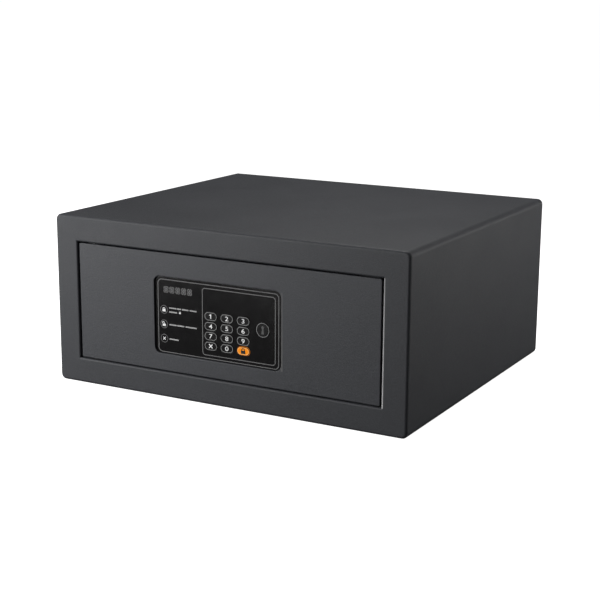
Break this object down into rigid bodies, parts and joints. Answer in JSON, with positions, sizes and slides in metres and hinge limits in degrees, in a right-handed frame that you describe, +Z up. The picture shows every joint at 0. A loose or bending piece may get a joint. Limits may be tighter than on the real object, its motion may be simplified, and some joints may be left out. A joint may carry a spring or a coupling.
{
  "type": "in-room safe",
  "caption": "Hotel in-room safe: dark textured steel cabinet, flush front door with a black keypad panel, motor-driven bolts and a keyed override",
  "frame": {"origin": "centre of the cabinet's footprint, on the surface it stands on", "axes": "+X to the right seen from the front, +Y from the door towards the back panel, +Z up"},
  "size_m": [0.42, 0.37, 0.185],
  "materials": {
    "cabinet_coat": "fine textured charcoal powder coat",
    "door_coat": "fine textured charcoal powder coat",
    "cover_coat": "matt graphite grey powder coat",
    "zinc_steel": "zinc plated, dull",
    "bright_steel": "turned bright steel",
    "chromed_zinc": "satin chrome on die-cast zinc",
    "brass_parts": "machined brass",
    "mat_felt": "needle-punched felt",
    "soft_rubber": "matt silicone rubber",
    "black_plastic": "fine texture moulded",
    "panel_gloss": "glossy black with grey printing",
    "key_black": "satin gloss black with white printing",
    "key_orange": "satin gloss orange with black printing",
    "display_grey": "smoked display block",
    "board_green": "solder-masked board",
    "motor_grey": "satin",
    "nylon_white": "natural nylon",
    "cell_wrap": "printed cell wrap",
    "red_plastic": "moulded red",
    "lead_black": "insulated lead"
  },
  "bodies": {
    "cabinet": {"body_wrap": "cabinet_coat", "floor_tray": "cabinet_coat", "back_panel": "cabinet_coat", "front_frame": "cabinet_coat", "strike_plate": "zinc_steel", "hinge_bush_upper": "black_plastic", "hinge_bush_lower": "black_plastic", "door_stops": "cabinet_coat", "stop_pads": "soft_rubber", "floor_mat": "mat_felt"},
    "door": {"door_plate": "door_coat", "hinge_blocks": "zinc_steel", "hinge_pin_upper": "bright_steel", "hinge_pin_lower": "bright_steel", "door_cover": "cover_coat", "cover_studs": "zinc_steel", "cover_screws": "bright_steel", "keypad_housing": "black_plastic", "keypad_face": "panel_gloss", "housing_screws": "bright_steel", "display_block": "display_grey", "dome_mat": "soft_rubber", "control_board": "board_green", "armour_plate": "zinc_steel", "lock_barrel": "chromed_zinc", "barrel_nut": "bright_steel", "bolt_guide": "zinc_steel", "rack_guide": "nylon_white", "motor_bracket": "zinc_steel", "gear_motor": "motor_grey", "battery_tray": "black_plastic", "batteries": "cell_wrap", "reset_switch": "black_plastic", "battery_leads": "red_plastic", "motor_leads": "lead_black"},
    "bolts": {"bolt_bar": "zinc_steel", "lock_bolts": "bright_steel"},
    "pinion": {"drive_pinion": "bright_steel"},
    "override": {"lock_plug": "brass_parts", "lock_cam": "zinc_steel"},
    "cap": {"keyhole_cap": "key_black"},
    "battery_lid": {"battery_lid": "black_plastic"},
    "reset": {"reset_button": "red_plastic"},
    "key_1": {"key_1": "key_black"},
    "key_2": {"key_2": "key_black"},
    "key_3": {"key_3": "key_black"},
    "key_4": {"key_4": "key_black"},
    "key_5": {"key_5": "key_black"},
    "key_6": {"key_6": "key_black"},
    "key_7": {"key_7": "key_black"},
    "key_8": {"key_8": "key_black"},
    "key_9": {"key_9": "key_black"},
    "key_clear": {"key_clear": "key_black"},
    "key_0": {"key_0": "key_black"},
    "key_lock": {"key_lock": "key_orange"}
  },
  "joints": [
    {"name": "door_swing", "type": "hinge", "parent": "cabinet", "child": "door", "pos_m": [-0.1638, -0.177, 0.0925], "axis": [0, 0, -1], "range_deg": [0, 105]},
    {"name": "bolt_slide", "type": "slide", "parent": "door", "child": "bolts", "axis": [1, 0, 0], "range_m": [0, 0.014]},
    {"name": "pinion_spin", "type": "hinge", "parent": "door", "child": "pinion", "pos_m": [0.1, -0.156, 0.085], "axis": [0, -1, 0], "range_deg": [0, 134]},
    {"name": "override_turn", "type": "hinge", "parent": "door", "child": "override", "pos_m": [0.0476, -0.17, 0.088], "axis": [0, 1, 0], "range_deg": [0, 90]},
    {"name": "cap_pull", "type": "slide", "parent": "door", "child": "cap", "axis": [0, -1, 0], "range_m": [0, 0.012]},
    {"name": "battery_lid_slide", "type": "slide", "parent": "door", "child": "battery_lid", "axis": [1, 0, 0], "range_m": [0, 0.058]},
    {"name": "reset_press", "type": "slide", "parent": "door", "child": "reset", "axis": [0, -1, 0], "range_m": [0, 0.001], "stiffness_N_per_m": 300, "springref_m": -0.001},
    {"name": "press_1", "type": "slide", "parent": "door", "child": "key_1", "axis": [0, 1, 0], "range_m": [0, 0.0008], "stiffness_N_per_m": 400, "springref_m": -0.0008},
    {"name": "press_2", "type": "slide", "parent": "door", "child": "key_2", "axis": [0, 1, 0], "range_m": [0, 0.0008], "stiffness_N_per_m": 400, "springref_m": -0.0008},
    {"name": "press_3", "type": "slide", "parent": "door", "child": "key_3", "axis": [0, 1, 0], "range_m": [0, 0.0008], "stiffness_N_per_m": 400, "springref_m": -0.0008},
    {"name": "press_4", "type": "slide", "parent": "door", "child": "key_4", "axis": [0, 1, 0], "range_m": [0, 0.0008], "stiffness_N_per_m": 400, "springref_m": -0.0008},
    {"name": "press_5", "type": "slide", "parent": "door", "child": "key_5", "axis": [0, 1, 0], "range_m": [0, 0.0008], "stiffness_N_per_m": 400, "springref_m": -0.0008},
    {"name": "press_6", "type": "slide", "parent": "door", "child": "key_6", "axis": [0, 1, 0], "range_m": [0, 0.0008], "stiffness_N_per_m": 400, "springref_m": -0.0008},
    {"name": "press_7", "type": "slide", "parent": "door", "child": "key_7", "axis": [0, 1, 0], "range_m": [0, 0.0008], "stiffness_N_per_m": 400, "springref_m": -0.0008},
    {"name": "press_8", "type": "slide", "parent": "door", "child": "key_8", "axis": [0, 1, 0], "range_m": [0, 0.0008], "stiffness_N_per_m": 400, "springref_m": -0.0008},
    {"name": "press_9", "type": "slide", "parent": "door", "child": "key_9", "axis": [0, 1, 0], "range_m": [0, 0.0008], "stiffness_N_per_m": 400, "springref_m": -0.0008},
    {"name": "press_clear", "type": "slide", "parent": "door", "child": "key_clear", "axis": [0, 1, 0], "range_m": [0, 0.0008], "stiffness_N_per_m": 400, "springref_m": -0.0008},
    {"name": "press_0", "type": "slide", "parent": "door", "child": "key_0", "axis": [0, 1, 0], "range_m": [0, 0.0008], "stiffness_N_per_m": 400, "springref_m": -0.0008},
    {"name": "press_lock", "type": "slide", "parent": "door", "child": "key_lock", "axis": [0, 1, 0], "range_m": [0, 0.0008], "stiffness_N_per_m": 400, "springref_m": -0.0008}
  ],
  "couplings": [
    {"joint": "pinion_spin", "follows": "bolt_slide", "rad_per_m": 166.67}
  ]
}
